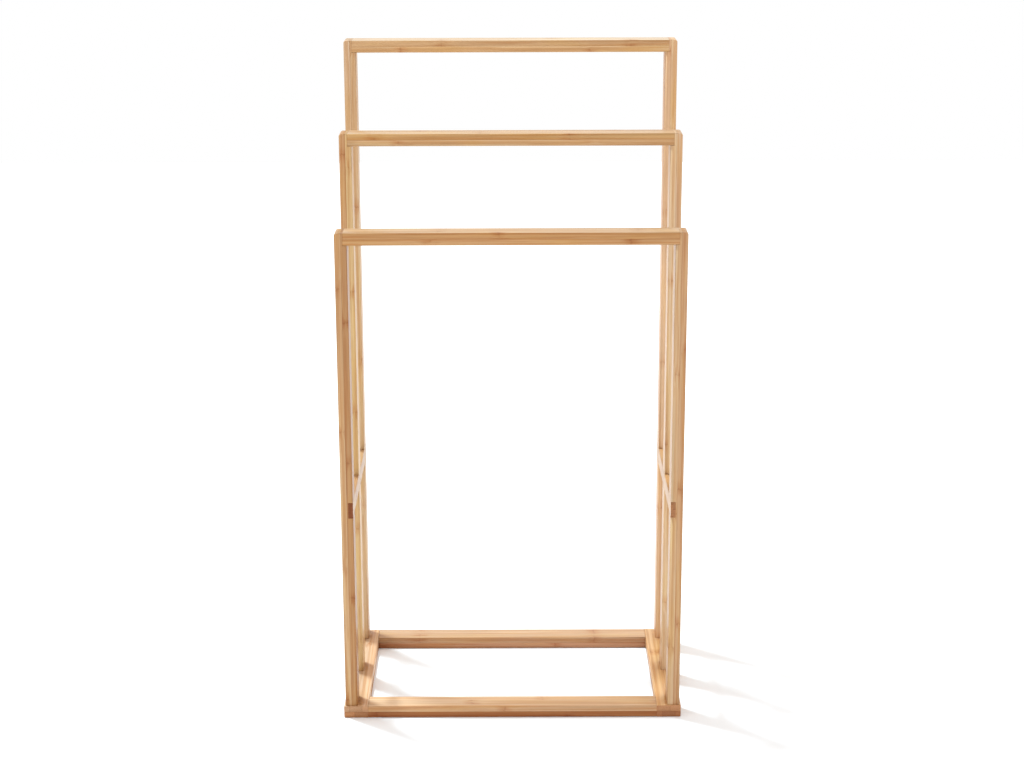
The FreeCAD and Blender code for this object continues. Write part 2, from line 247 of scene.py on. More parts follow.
def bambooGroup():
    tree = bpy.data.node_groups.new("bambooGrain", "ShaderNodeTree")
    sockets = (("Place", "NodeSocketVector"), ("Low Ply", "NodeSocketColor"),
               ("High Ply", "NodeSocketColor"), ("Sawn End", "NodeSocketColor"),
               ("Seed", "NodeSocketFloat"), ("Ring Gap", "NodeSocketFloat"),
               ("Low Ring", "NodeSocketFloat"), ("High Ring", "NodeSocketFloat"),
               ("Half Width", "NodeSocketFloat"), ("Half Length", "NodeSocketFloat"),
               ("Grain Axis", "NodeSocketVector"), ("Face Axis", "NodeSocketVector"),
               ("Painted Light Tone", "NodeSocketColor"))
    for name, kind in sockets:
        tree.interface.new_socket(name=name, in_out="INPUT", socket_type=kind)
    for name, kind in (("Color", "NodeSocketColor"), ("Roughness", "NodeSocketFloat"),
                       ("Normal", "NodeSocketVector")):
        tree.interface.new_socket(name=name, in_out="OUTPUT", socket_type=kind)
    given = addNode(tree, "NodeGroupInput").outputs
    result = addNode(tree, "NodeGroupOutput").inputs
    place = addNode(tree, "ShaderNodeSeparateXYZ")
    feed(tree, place.inputs[0], given["Place"])
    along, wide, deep = place.outputs

    # which ply, which strip of it, and three random numbers for that strip
    ply = maths(tree, "GREATER_THAN", deep, 0.0)
    shift = maths(tree, "MULTIPLY_ADD", ply, bamboo["plyShift"], given["Seed"])
    inStrips = maths(tree, "ADD", maths(tree, "DIVIDE", wide, bamboo["stripWide"]), shift)
    strip = maths(tree, "FLOOR", inStrips)
    chance = drawn(tree, (strip, ply, given["Seed"]))
    picked = addNode(tree, "ShaderNodeSeparateColor")
    feed(tree, picked.inputs[0], chance["Color"])
    toneChance, phaseChance, strayChance = picked.outputs
    strayed = maths(tree, "MULTIPLY_ADD", strayChance, bamboo["strayAlong"], along)
    straight = (strayed, wide, deep)

    # growth rings: each strip has them at its own places, as smudges drawn out along the grain
    ripple = grainNoise(tree, straight, bamboo["rippleWaves"], detail=2)
    ripple = maths(tree, "SUBTRACT", ripple, 0.5)
    ringPlace = maths(tree, "MULTIPLY_ADD", ripple, bamboo["ripple"], along)
    # the front strip has its rings where the stick's look says, the others by chance
    frontEdge = maths(tree, "MULTIPLY_ADD", given["Half Width"],
                      -bamboo["frontAt"] / bamboo["stripWide"], shift)
    isFront = maths(tree, "COMPARE", strip, maths(tree, "FLOOR", frontEdge), 0.1)
    gap = given["Ring Gap"]
    apart = maths(tree, "SUBTRACT", given["High Ring"], given["Low Ring"])
    ringAt = maths(tree, "MULTIPLY_ADD", ply, apart, given["Low Ring"])
    setPhase = maths(tree, "SUBTRACT", 0.5, maths(tree, "DIVIDE", ringAt, gap))
    toSet = maths(tree, "SUBTRACT", setPhase, phaseChance)
    ownPhase = maths(tree, "MULTIPLY_ADD", isFront, toSet, phaseChance)
    phase = maths(tree, "ADD", maths(tree, "DIVIDE", ringPlace, gap), ownPhase)
    offRing = maths(tree, "SUBTRACT", maths(tree, "FRACT", phase), 0.5)
    fromRing = maths(tree, "MULTIPLY", gap, maths(tree, "ABSOLUTE", offRing))
    ringChance = drawn(tree, (maths(tree, "FLOOR", phase), strip, chance["Value"]))
    strength = chanceTone(tree, ringChance["Value"], bamboo["knotStrength"])
    frontStrength = maths(tree, "MULTIPLY", isFront, bamboo["frontStrength"])
    strength = maths(tree, "MAXIMUM", strength, frontStrength)
    blotch = grainNoise(tree, straight, bamboo["blotchWaves"], detail=2)
    blotch = ramp(tree, blotch, *bamboo["blotchRange"], *bamboo["blotchTones"])
    blotch = maths(tree, "MULTIPLY", blotch, strength)
    halo = ramp(tree, fromRing, *bamboo["knotReach"], 1.0, 0.0)
    smudge = maths(tree, "MULTIPLY", halo, blotch)
    line = ramp(tree, fromRing, *bamboo["coreReach"], 1.0, 0.0)
    core = maths(tree, "MULTIPLY", line, blotch)

    # the fibres bend a little where they pass a ring
    wander = grainNoise(tree, straight, bamboo["bendWaves"], detail=2)
    wander = maths(tree, "SUBTRACT", wander, 0.5)
    nearRing = ramp(tree, fromRing, 0.0, bamboo["bendReach"], 1.0, 0.0)
    howFar = maths(tree, "MULTIPLY_ADD", nearRing, bamboo["knotBend"], bamboo["bend"])
    bend = maths(tree, "MULTIPLY", wander, howFar)
    bent = (strayed, maths(tree, "ADD", wide, bend), maths(tree, "ADD", deep, bend))
    streaks = grainNoise(tree, bent, bamboo["streakWaves"], detail=3)
    fibres = grainNoise(tree, bent, bamboo["fibreWaves"], detail=4,
                        roughness=bamboo["fibreRoughness"])
    clouds = grainNoise(tree, straight, bamboo["cloudWaves"], detail=2)

    # colour, from the ply's own tone
    base = mixColor(tree, ply, given["Low Ply"], given["High Ply"])
    light = maths(tree, "MULTIPLY", grainTone(tree, streaks, bamboo["streakTones"]),
                  grainTone(tree, fibres, bamboo["fibreTones"]))
    light = maths(tree, "MULTIPLY", light, grainTone(tree, clouds, bamboo["cloudTones"]))
    light = maths(tree, "MULTIPLY", light, chanceTone(tree, toneChance, bamboo["stripTones"]))
    color = scaled(tree, base, light)
    ruddy = ramp(tree, streaks, *bamboo["ruddyRange"], bamboo["ruddyShare"], 0.0)
    yellow = ramp(tree, clouds, *bamboo["yellowRange"], 0.0, bamboo["yellowShare"])
    fromGlue = maths(tree, "ABSOLUTE", deep)
    glue = ramp(tree, fromGlue, *bamboo["glueReach"], bamboo["glueShare"], 0.0)
    toEnd = maths(tree, "SUBTRACT", given["Half Length"], maths(tree, "ABSOLUTE", along))
    joint = ramp(tree, toEnd, *bamboo["jointReach"], bamboo["jointShare"], 0.0)
    for share, tint in ((ruddy, "ruddyTint"), (yellow, "yellowTint"),
                        (maths(tree, "MULTIPLY", smudge, bamboo["smudgeShare"]), "smudgeTint"),
                        (maths(tree, "MULTIPLY", core, bamboo["coreShare"]), "coreTint"),
                        (glue, "glueTint"), (joint, "jointTint")):
        color = tinted(tree, share, color, bamboo[tint])

    # painted light: the wide faces take a tint for how the lamps fall on them, a painted highlight
    # that makes the tops and bottoms of lying sticks paler and bluer, and painted shade on the
    # posts' sides
    normal = addNode(tree, "ShaderNodeNewGeometry").outputs["True Normal"]
    color = tinted(tree, isAlong(tree, normal, given["Face Axis"]), color, given["Painted Light Tone"])

    # sawn ends: fibre bundles seen end on, strip by strip
    poreAlong, poreAcross = bamboo["poreWaves"]
    pores = addNode(tree, "ShaderNodeTexVoronoi", feature="F1")
    feed(tree, pores.inputs["Vector"],
         stretched(tree, (along, wide, deep), (poreAlong, poreAcross, poreAcross)))
    pores.inputs["Scale"].default_value = 1.0
    dots = ramp(tree, pores.outputs["Distance"], *bamboo["poreRange"], 1.0, 0.0)
    fromEdge = maths(tree, "PINGPONG", inStrips, 0.5)
    stripEdge = ramp(tree, fromEdge, *bamboo["edgeRange"], bamboo["edgeShare"], 0.0)
    sawn = scaled(tree, mixColor(tree, 1.0, base, given["Sawn End"], "MULTIPLY"),
                  chanceTone(tree, toneChance, bamboo["sawnTones"]))
    sawn = tinted(tree, maths(tree, "MULTIPLY", dots, bamboo["poreShare"]), sawn,
                  bamboo["poreTint"])
    sawn = tinted(tree, maths(tree, "MAXIMUM", stripEdge, glue), sawn, bamboo["edgeTint"])
    color = mixColor(tree, isAlong(tree, normal, given["Grain Axis"]), color, sawn)

    swing = maths(tree, "SUBTRACT", streaks, 0.5)
    height = maths(tree, "MULTIPLY_ADD", smudge, bamboo["knotRaise"], fibres)
    feed(tree, result["Color"], color)
    feed(tree, result["Roughness"], maths(tree, "MULTIPLY_ADD", swing, bamboo["roughnessSwing"],
                                          bamboo["roughness"]))
    feed(tree, result["Normal"], bumped(tree, height, bamboo["bumpStrength"], bamboo["bump"]))
    return tree


grainGroup = bambooGroup()
print("bamboo grain ready")


def bambooMaterial(name, centre, axes, extents, flip, look, seed):
    # axes: the object's axes along the grain, across the wide face and through the plies
    material = bpy.data.materials.new(name)
    material.use_nodes = True
    tree = material.node_tree
    shader = tree.nodes["Principled BSDF"]
    centred = addNode(tree, "ShaderNodeMapping", vector_type="POINT")
    centred.inputs["Location"].default_value = -centre
    feed(tree, centred.inputs["Vector"], addNode(tree, "ShaderNodeTexCoord").outputs["Object"])
    parts = addNode(tree, "ShaderNodeSeparateXYZ")
    feed(tree, parts.inputs[0], centred.outputs[0])
    turned = addNode(tree, "ShaderNodeCombineXYZ")
    along, wide, deep = [parts.outputs["XYZ".index(axis)] for axis in axes]
    for socket, source in zip(turned.inputs, (along, wide, maths(tree, "MULTIPLY", deep, flip))):
        feed(tree, socket, source)
    grain = addNode(tree, "ShaderNodeGroup")
    grain.node_tree = grainGroup
    feed(tree, grain.inputs["Place"], turned.outputs[0])
    lowRing, highRing = look.get("rings", bamboo["knotPlaces"])
    settings = {
        "Low Ply": look["low"],
        "High Ply": look["high"],
        "Sawn End": look.get("end", bamboo["sawnEnd"]),
        "Seed": seed,
        "Ring Gap": look.get("gap", bamboo["knotGap"]),
        "Low Ring": lowRing,
        "High Ring": highRing,
        "Half Length": extents[0] / 2,
        "Half Width": extents[1] / 2,
        "Grain Axis": [float(axis == axes[0]) for axis in "XYZ"],
        "Face Axis": [float(axis == axes[2]) for axis in "XYZ"],
        # the painted light and shade tint of the wide faces
        "Painted Light Tone": (*look.get("face", bamboo["paintedLightTint"]), 1.0),
    }
    for socket, value in settings.items():
        grain.inputs[socket].default_value = value
    for socket, source in (("Base Color", "Color"), ("Roughness", "Roughness"),
                           ("Normal", "Normal")):
        feed(tree, shader.inputs[socket], grain.outputs[source])
    shader.inputs["Coat Weight"].default_value = bamboo["varnish"]
    shader.inputs["Specular IOR Level"].default_value = bamboo["shine"]
    shader.inputs["Coat Roughness"].default_value = bamboo["varnishRoughness"]
    return material


# each stick keeps the CAD shape; all but the stretchers have the line between their two plies cut
# in as a fine groove
sticks = {
    "grooveHalfWide": 0.00009,
    "grooveSides": 4,
    "edgeRound": 0.001,
    "edgeSteps": 4,
    "flatWithin": 0.5,        # degrees between triangles that are one flat face
    "smoothUnder": 32,        # degrees between faces that shade as one
    "seedStep": 1.37,
    "slots": {"base": "base_bamboo", "post": "post_bamboo", "towel": "bar_bamboo",
              "side": "stretcher_bamboo"},
}

# The look of each stick. Low and high are the tones of its plies: the lower and the upper
# one of a lying stick, the outer and the inner one of a post, the left and the right one of
# a stretcher. Rings says where the front strips of the low and the high ply have a growth
# ring, in metres from the stick's middle, and gap is from one ring to the next. Face is
# painted light on the wide faces: a painted highlight that makes the tops and bottoms of lying
# sticks paler and bluer, and painted shade that makes the posts' sides warmer, darker on the
# right posts. End tints the sawn ends.
looks = {
    "base_front_rail": {
        "low": rgb(157, 100, 58), "high": rgb(193, 152, 114),
        "rings": (0.068, -0.009), "face": (1.20, 1.31, 1.44),
    },
    "base_back_rail": {
        "low": rgb(166, 119, 88), "high": rgb(176, 134, 99),
        "rings": (-0.178, 0.111), "face": (1.13, 1.26, 1.40),
    },
    "base_side_rail_left": {
        "low": rgb(189, 141, 101), "high": rgb(211, 173, 138),
        "rings": (0.02, 0.05), "end": rgb(237, 218, 202),
    },
    "base_side_rail_right": {
        "low": rgb(180, 131, 88), "high": rgb(215, 170, 122),
        "rings": (-0.03, 0.028), "end": rgb(222, 200, 194),
    },
    "post_front_left": {
        "low": rgb(194, 156, 116), "high": rgb(163, 119, 78),
        "rings": (0.058, 0.018), "gap": 0.175, "face": (1.02, 0.97, 0.88),
    },
    "post_front_right": {
        "low": rgb(193, 151, 112), "high": rgb(196, 162, 125),
        "rings": (-0.017, -0.048), "gap": 0.175, "face": (0.96, 0.88, 0.80),
    },
    "post_middle_left": {
        "low": rgb(186, 144, 103), "high": rgb(207, 171, 122),
        "rings": (0.3255, 0.0), "gap": 0.155, "face": (1.02, 0.97, 0.88),
    },
    "post_middle_right": {
        "low": rgb(197, 164, 133), "high": rgb(201, 169, 133),
        "rings": (0.07, -0.044), "gap": 0.212, "face": (0.96, 0.88, 0.80),
    },
    "post_back_left": {
        "low": rgb(204, 175, 144), "high": rgb(201, 167, 129),
        "rings": (0.05, -0.21), "gap": 0.2, "face": (1.02, 0.97, 0.88),
    },
    "post_back_right": {
        "low": rgb(209, 175, 137), "high": rgb(205, 165, 128),
        "rings": (-0.11, 0.385), "gap": 0.2, "face": (0.96, 0.88, 0.80),
    },
    "towel_bar_front": {
        "low": rgb(186, 142, 98), "high": rgb(181, 132, 84),
        "rings": (-0.095, -0.015), "face": (0.97, 1.19, 1.65),
    },
    "towel_bar_middle": {
        "low": rgb(201, 163, 121), "high": rgb(189, 145, 95),
        "rings": (0.100, 0.071), "face": (0.88, 0.97, 1.33),
    },
    "towel_bar_back": {
        "low": rgb(212, 175, 131), "high": rgb(191, 150, 108),
        "rings": (-0.137, -0.086), "face": (0.96, 1.18, 1.60),
    },
    "side_stretcher_left": {
        "low": rgb(188, 150, 108), "high": rgb(184, 145, 104),
        "end": rgb(176, 123, 86),
    },
    "side_stretcher_right": {
        "low": rgb(190, 149, 107), "high": rgb(186, 146, 104),
        "end": rgb(208, 180, 164),
    },
}


def glueGrooveTree():
    tree = bpy.data.node_groups.new("glueGroove", "GeometryNodeTree")
    for name, kind in (("Geometry", "NodeSocketGeometry"), ("Outline Length", "NodeSocketFloat"),
                       ("Outline Width", "NodeSocketFloat"), ("Corner Round", "NodeSocketFloat"),
                       ("Half Width", "NodeSocketFloat"), ("Centre", "NodeSocketVector"),
                       ("Turn", "NodeSocketRotation"), ("Material", "NodeSocketMaterial")):
        tree.interface.new_socket(name=name, in_out="INPUT", socket_type=kind)
    tree.interface.new_socket(name="Geometry", in_out="OUTPUT", socket_type="NodeSocketGeometry")
    given = addNode(tree, "NodeGroupInput").outputs
    outline = addNode(tree, "GeometryNodeCurvePrimitiveQuadrilateral")
    feed(tree, outline.inputs["Width"], given["Outline Length"])
    feed(tree, outline.inputs["Height"], given["Outline Width"])
    rounded = addNode(tree, "GeometryNodeFilletCurve", mode="POLY")
    feed(tree, rounded.inputs["Curve"], outline.outputs[0])
    rounded.inputs["Count"].default_value = sticks["edgeSteps"]
    feed(tree, rounded.inputs["Radius"], given["Corner Round"])
    cutter = addNode(tree, "GeometryNodeCurvePrimitiveCircle", mode="RADIUS")
    cutter.inputs["Resolution"].default_value = sticks["grooveSides"]
    feed(tree, cutter.inputs["Radius"], given["Half Width"])
    ring = addNode(tree, "GeometryNodeCurveToMesh")
    feed(tree, ring.inputs["Curve"], rounded.outputs[0])
    feed(tree, ring.inputs["Profile Curve"], cutter.outputs[0])
    placed = addNode(tree, "GeometryNodeTransform")
    feed(tree, placed.inputs["Geometry"], ring.outputs[0])
    feed(tree, placed.inputs["Translation"], given["Centre"])
    feed(tree, placed.inputs["Rotation"], given["Turn"])
    cut = addNode(tree, "GeometryNodeMeshBoolean", operation="DIFFERENCE", solver="EXACT")
    feed(tree, cut.inputs["Mesh 1"], given["Geometry"])
    feed(tree, cut.inputs["Mesh 2"], placed.outputs[0])
    whole = addNode(tree, "GeometryNodeRealizeInstances")
    feed(tree, whole.inputs[0], cut.outputs["Mesh"])
    coated = addNode(tree, "GeometryNodeSetMaterial")
    feed(tree, coated.inputs["Geometry"], whole.outputs[0])
    feed(tree, coated.inputs["Material"], given["Material"])
    feed(tree, addNode(tree, "NodeGroupOutput").inputs[0], coated.outputs[0])
    return tree


def runTree(obj, tree, **values):
    # sets the inputs by identifier, evaluates, and leaves a plain mesh behind
    modifier = obj.modifiers.new("build", "NODES")
    modifier.node_group = tree
    ids = {item.name: item.identifier for item in tree.interface.items_tree
           if item.in_out == "INPUT"}
    for name, value in values.items():
        modifier[ids[name.replace("_", " ")]] = value
    bpy.context.view_layer.update()
    evaluated = obj.evaluated_get(bpy.context.evaluated_depsgraph_get())
    mesh = bpy.data.meshes.new_from_object(evaluated)
    obj.modifiers.remove(modifier)
    obj.data = mesh


def mergedCopy(node, name):
    # a CAD node's triangles joined into one skin, in a mesh of its own
    mesh = bpy.data.meshes.new(name)
    skin = bmesh.new()
    skin.from_mesh(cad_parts[node].data)
    bmesh.ops.remove_doubles(skin, verts=skin.verts, dist=mergeDistance)
    bmesh.ops.dissolve_limit(skin, angle_limit=math.radians(sticks["flatWithin"]),
                             verts=skin.verts, edges=skin.edges)
    skin.to_mesh(mesh)
    skin.free()
    piece = bpy.data.objects.new(name, mesh)
    bpy.context.scene.collection.objects.link(piece)
    return piece


def dropTwins(piece):
    # the cut can leave flat slivers of two faces back to back on the same points
    skin = bmesh.new()
    skin.from_mesh(piece.data)
    bmesh.ops.remove_doubles(skin, verts=skin.verts, dist=mergeDistance)
    bmesh.ops.triangulate(skin, faces=skin.faces)
    groups = {}
    for face in skin.faces:
        groups.setdefault(frozenset(face.verts), []).append(face)
    twins = [face for group in groups.values() if len(group) > 1 for face in group]
    bmesh.ops.delete(skin, geom=twins, context="FACES")
    skin.to_mesh(piece.data)
    skin.free()


def shadeSmooth(piece, angle):
    piece.data.shade_smooth()
    piece.data.set_sharp_from_angle(angle=math.radians(angle))


def pieceName(node):
    words = node.split("_")
    return words[0] + "".join(word.capitalize() for word in words[1:])


glueGroove = glueGrooveTree()
for number, node in enumerate(looks, start=1):
    low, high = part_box(node)
    centre = (low + high) / 2
    size = high - low
    kind = node.split("_")[0]
    turn = Euler((0, 0, 0))
    flip = 1.0
    if kind == "post":
        axes = "ZYX"
        turn = Euler((0, math.radians(90), 0))
        flip = 1.0 if centre.x < 0 else -1.0
    elif kind == "side":
        axes = "YZX"
    elif "side_rail" in node:
        axes = "YXZ"
        turn = Euler((0, 0, math.radians(90)))
    else:
        axes = "XYZ"
    extents = [size["XYZ".index(axis)] for axis in axes]
    material = bambooMaterial(pieceName(node) + "Bamboo", centre, axes, extents, flip,
                              looks[node], number * sticks["seedStep"])
    piece = mergedCopy(node, pieceName(node))
    if kind == "side":
        # the stretchers are too thin for a groove
        piece.data.materials.clear()
        piece.data.materials.append(material)
    else:
        runTree(piece, glueGroove, Outline_Length=extents[0], Outline_Width=extents[1],
                Corner_Round=sticks["edgeRound"], Half_Width=sticks["grooveHalfWide"],
                Centre=centre, Turn=turn, Material=material)
        dropTwins(piece)
    shadeSmooth(piece, sticks["smoothUnder"])
    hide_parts(node)
    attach(piece, body)
print("sticks made:", len(looks))


# screws, dowels and pins: one turned shape, set on the places of the CAD ones
fastenerSmoothUnder = 35    # degrees between faces that shade as one
fastenerKinds = {
    "towel_bar_screws": {
        "Radius": 0.0025, "Sides": 20, "Rings": 104, "Head Radius": 0.00475,
        "Socket Width": 0.003, "Socket Depth": 0.002,
        "Thread Pitch": 0.0022, "Thread Depth": 0.0007, "Thread Start": 0.014,
        "Tip Length": 0.004, "Tip Radius": 0.0004,
        "slot": "screw_steel",
    },
    "base_rail_screws": {
        "Radius": 0.0025, "Sides": 20, "Rings": 132, "Head Radius": 0.00475,
        "Socket Width": 0.003, "Socket Depth": 0.002,
        "Thread Pitch": 0.0022, "Thread Depth": 0.0007, "Thread Start": 0.026,
        "Tip Length": 0.004, "Tip Radius": 0.0004,
        "slot": "screw_steel",
    },
    "post_foot_screws": {
        "Radius": 0.002, "Sides": 18, "Rings": 116, "Head Radius": 0.004,
        "Socket Width": 0.003, "Socket Depth": 0.002,
        "Thread Pitch": 0.0018, "Thread Depth": 0.0006, "Thread Start": 0.016,
        "Tip Length": 0.004, "Tip Radius": 0.0004,
        "slot": "screw_steel",
    },
    "base_rail_dowels": {
        "Radius": 0.003, "Sides": 54, "Rings": 30, "Flutes": 18, "Flute Depth": 0.00025,
        "Chamfer": 0.0008, "Tip Length": 0.0008, "Tip Radius": 0.0022,
        "slot": "dowel_wood",
    },
    "stretcher_pins": {
        "Radius": 0.0007, "Sides": 14, "Rings": 26, "Chamfer": 0.00015,
        "Tip Length": 0.002, "Tip Radius": 0.0001,
        "slot": "pin_steel",
    },
}


def fastenerTree():
    # one fastener is turned along Z, its head at the top, then set on every point along "aim"
    tree = bpy.data.node_groups.new("fastener", "GeometryNodeTree")
    tree.interface.new_socket(name="Geometry", in_out="INPUT", socket_type="NodeSocketGeometry")
    for name in ("Sides", "Rings", "Flutes"):
        tree.interface.new_socket(name=name, in_out="INPUT", socket_type="NodeSocketInt")
    for name in ("Radius", "Length", "Head Radius", "Socket Width", "Socket Depth",
                 "Thread Pitch", "Thread Depth", "Thread Start", "Tip Length", "Tip Radius",
                 "Flute Depth", "Chamfer"):
        tree.interface.new_socket(name=name, in_out="INPUT", socket_type="NodeSocketFloat")
    tree.interface.new_socket(name="Material", in_out="INPUT", socket_type="NodeSocketMaterial")
    tree.interface.new_socket(name="Geometry", in_out="OUTPUT", socket_type="NodeSocketGeometry")
    given = addNode(tree, "NodeGroupInput").outputs
    rod = addNode(tree, "GeometryNodeMeshCylinder", fill_type="NGON")
    feed(tree, rod.inputs["Vertices"], given["Sides"])
    feed(tree, rod.inputs["Side Segments"], given["Rings"])
    rod.inputs["Radius"].default_value = 1.0
    rod.inputs["Depth"].default_value = 1.0
    spot = addNode(tree, "ShaderNodeSeparateXYZ")
    feed(tree, spot.inputs[0], addNode(tree, "GeometryNodeInputPosition").outputs[0])
    x, y, z = spot.outputs
    down = maths(tree, "MULTIPLY", maths(tree, "SUBTRACT", 0.5, z), given["Length"])
    angle = maths(tree, "ARCTAN2", y, x)
    turns = maths(tree, "ADD", maths(tree, "DIVIDE", down, given["Thread Pitch"]),
                  maths(tree, "DIVIDE", angle, math.tau))
    ridge = maths(tree, "PINGPONG", turns, 0.5)
    threaded = maths(tree, "GREATER_THAN", down, given["Thread Start"])
    groove = maths(tree, "MULTIPLY", maths(tree, "MULTIPLY", ridge, 2.0), threaded)
    root = maths(tree, "MULTIPLY", groove, given["Thread Depth"])
    wave = maths(tree, "COSINE", maths(tree, "MULTIPLY", angle, given["Flutes"]))
    flute = maths(tree, "MULTIPLY", maths(tree, "MULTIPLY_ADD", wave, 0.5, 0.5),
                  given["Flute Depth"])
    shank = maths(tree, "SUBTRACT", maths(tree, "SUBTRACT", given["Radius"], root), flute)
    left = maths(tree, "SUBTRACT", given["Length"], down)
    toTip = maths(tree, "DIVIDE", left, given["Tip Length"])
    widening = maths(tree, "SUBTRACT", given["Radius"], given["Tip Radius"])
    taper = maths(tree, "MULTIPLY_ADD", toTip, widening, given["Tip Radius"])
    bevel = maths(tree, "ADD", maths(tree, "SUBTRACT", given["Radius"], given["Chamfer"]), down)
    narrow = maths(tree, "MINIMUM", maths(tree, "MINIMUM", shank, taper), bevel)
    radius = maths(tree, "MAXIMUM", narrow, maths(tree, "SUBTRACT", given["Head Radius"], down))
    placed = addNode(tree, "ShaderNodeCombineXYZ")
    for socket, source in zip(placed.inputs, (maths(tree, "MULTIPLY", x, radius),
                                              maths(tree, "MULTIPLY", y, radius),
                                              maths(tree, "MULTIPLY", down, -1.0))):
        feed(tree, socket, source)
    turned = addNode(tree, "GeometryNodeSetPosition")
    feed(tree, turned.inputs["Geometry"], rod.outputs["Mesh"])
    feed(tree, turned.inputs["Position"], placed.outputs[0])
    # a hexagon key cuts the socket of those that have one
    key = addNode(tree, "GeometryNodeMeshCylinder", fill_type="NGON")
    key.inputs["Vertices"].default_value = 6
    feed(tree, key.inputs["Radius"], maths(tree, "DIVIDE", given["Socket Width"], math.sqrt(3)))
    feed(tree, key.inputs["Depth"], maths(tree, "MULTIPLY", given["Socket Depth"], 2.0))
    socketed = addNode(tree, "GeometryNodeMeshBoolean", operation="DIFFERENCE", solver="EXACT")
    feed(tree, socketed.inputs["Mesh 1"], turned.outputs[0])
    feed(tree, socketed.inputs["Mesh 2"], key.outputs["Mesh"])
    choice = addNode(tree, "GeometryNodeSwitch", input_type="GEOMETRY")
    feed(tree, choice.inputs["Switch"], maths(tree, "GREATER_THAN", given["Socket Width"], 0.0))
    feed(tree, choice.inputs["False"], turned.outputs[0])
    feed(tree, choice.inputs["True"], socketed.outputs["Mesh"])
    aim = addNode(tree, "GeometryNodeInputNamedAttribute", data_type="FLOAT_VECTOR")
    aim.inputs["Name"].default_value = "aim"
    facing = addNode(tree, "FunctionNodeAlignRotationToVector", axis="Z")
    feed(tree, facing.inputs["Vector"], aim.outputs["Attribute"])
    copies = addNode(tree, "GeometryNodeInstanceOnPoints")
    feed(tree, copies.inputs["Points"], given["Geometry"])
    feed(tree, copies.inputs["Instance"], choice.outputs[0])
    feed(tree, copies.inputs["Rotation"], facing.outputs[0])
    whole = addNode(tree, "GeometryNodeRealizeInstances")
    feed(tree, whole.inputs[0], copies.outputs[0])
    coated = addNode(tree, "GeometryNodeSetMaterial")
    feed(tree, coated.inputs["Geometry"], whole.outputs[0])
    feed(tree, coated.inputs["Material"], given["Material"])
    feed(tree, addNode(tree, "NodeGroupOutput").inputs[0], coated.outputs[0])
    return tree


def islandBoxes(node):
    # the box of each separate solid of a CAD node
    skin = bmesh.new()
    skin.from_mesh(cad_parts[node].data)
    bmesh.ops.remove_doubles(skin, verts=skin.verts, dist=mergeDistance)
    seen = set()
    boxes = []
    for start in skin.verts:
        if start in seen:
            continue
        seen.add(start)
        island = [start]
        for vert in island:
            for edge in vert.link_edges:
                other = edge.other_vert(vert)
                if other not in seen:
                    seen.add(other)
                    island.append(other)
        low = Vector([min(vert.co[axis] for vert in island) for axis in range(3)])
        high = Vector([max(vert.co[axis] for vert in island) for axis in range(3)])
        boxes.append((low, high))
    skin.free()
    return boxes


def startMaterial(name):
    # a new material with its tree and shader, and the three parts of the object's coordinates
    material = bpy.data.materials.new(name)
    material.use_nodes = True
    tree = material.node_tree
    parts = addNode(tree, "ShaderNodeSeparateXYZ")
    feed(tree, parts.inputs[0], addNode(tree, "ShaderNodeTexCoord").outputs["Object"])
    return material, tree, tree.nodes["Principled BSDF"], parts.outputs


# bright zinc plate: fine turning marks and a slightly cloudy gloss
zinc = {
    "dark": rgb(176, 178, 182),
    "pale": rgb(208, 207, 202),
    "cloudWaves": (900, 900, 900),
    "cloudRange": (0.35, 0.65),
    "glossRange": (0.3, 0.7),
    "roughness": (0.24, 0.38),
    "markWaves": (6000, 6000, 6000),
    "bump": 0.00002,
    "bumpStrength": 0.3,
}


def steelMaterial():
    material, tree, shader, parts = startMaterial("zincPlate")
    cloud = noise(tree, stretched(tree, parts, zinc["cloudWaves"]), detail=3)
    marks = noise(tree, stretched(tree, parts, zinc["markWaves"]), detail=2)
    share = ramp(tree, cloud, *zinc["cloudRange"], 0.0, 1.0)
    feed(tree, shader.inputs["Base Color"], mixColor(tree, share, zinc["dark"], zinc["pale"]))
    feed(tree, shader.inputs["Roughness"],
         ramp(tree, cloud, *zinc["glossRange"], *zinc["roughness"], smooth=False))
    feed(tree, shader.inputs["Normal"], bumped(tree, marks, zinc["bumpStrength"], zinc["bump"]))
    shader.inputs["Metallic"].default_value = 1.0
    return material


# pale pinkish beech: fine grain along X with short dark ray flecks
beech = {
    "dark": rgb(202, 160, 118),
    "pale": rgb(226, 190, 150),
    "grainWaves": (60, 1400, 1400),
    "grainRange": (0.3, 0.7),
    "fleckWaves": (500, 3200, 3200),
    "fleckRange": (0.60, 0.68),
    "fleckShare": 0.6,
    "fleckTint": rgb(190, 140, 104),
    "roughness": (0.55, 0.70),
    "bump": 0.00005,
    "bumpStrength": 0.4,
}


def beechMaterial():
    material, tree, shader, parts = startMaterial("beechDowel")
    grain = noise(tree, stretched(tree, parts, beech["grainWaves"]), detail=3)
    flecks = noise(tree, stretched(tree, parts, beech["fleckWaves"]), detail=1)
    flecks = ramp(tree, flecks, *beech["fleckRange"], 0.0, 1.0)
    share = ramp(tree, grain, *beech["grainRange"], 0.0, 1.0)
    color = mixColor(tree, share, beech["dark"], beech["pale"])
    feed(tree, shader.inputs["Base Color"],
         tinted(tree, maths(tree, "MULTIPLY", flecks, beech["fleckShare"]), color,
                beech["fleckTint"]))
    feed(tree, shader.inputs["Roughness"],
         ramp(tree, grain, *beech["grainRange"], *beech["roughness"], smooth=False))
    feed(tree, shader.inputs["Normal"], bumped(tree, grain, beech["bumpStrength"], beech["bump"]))
    return material


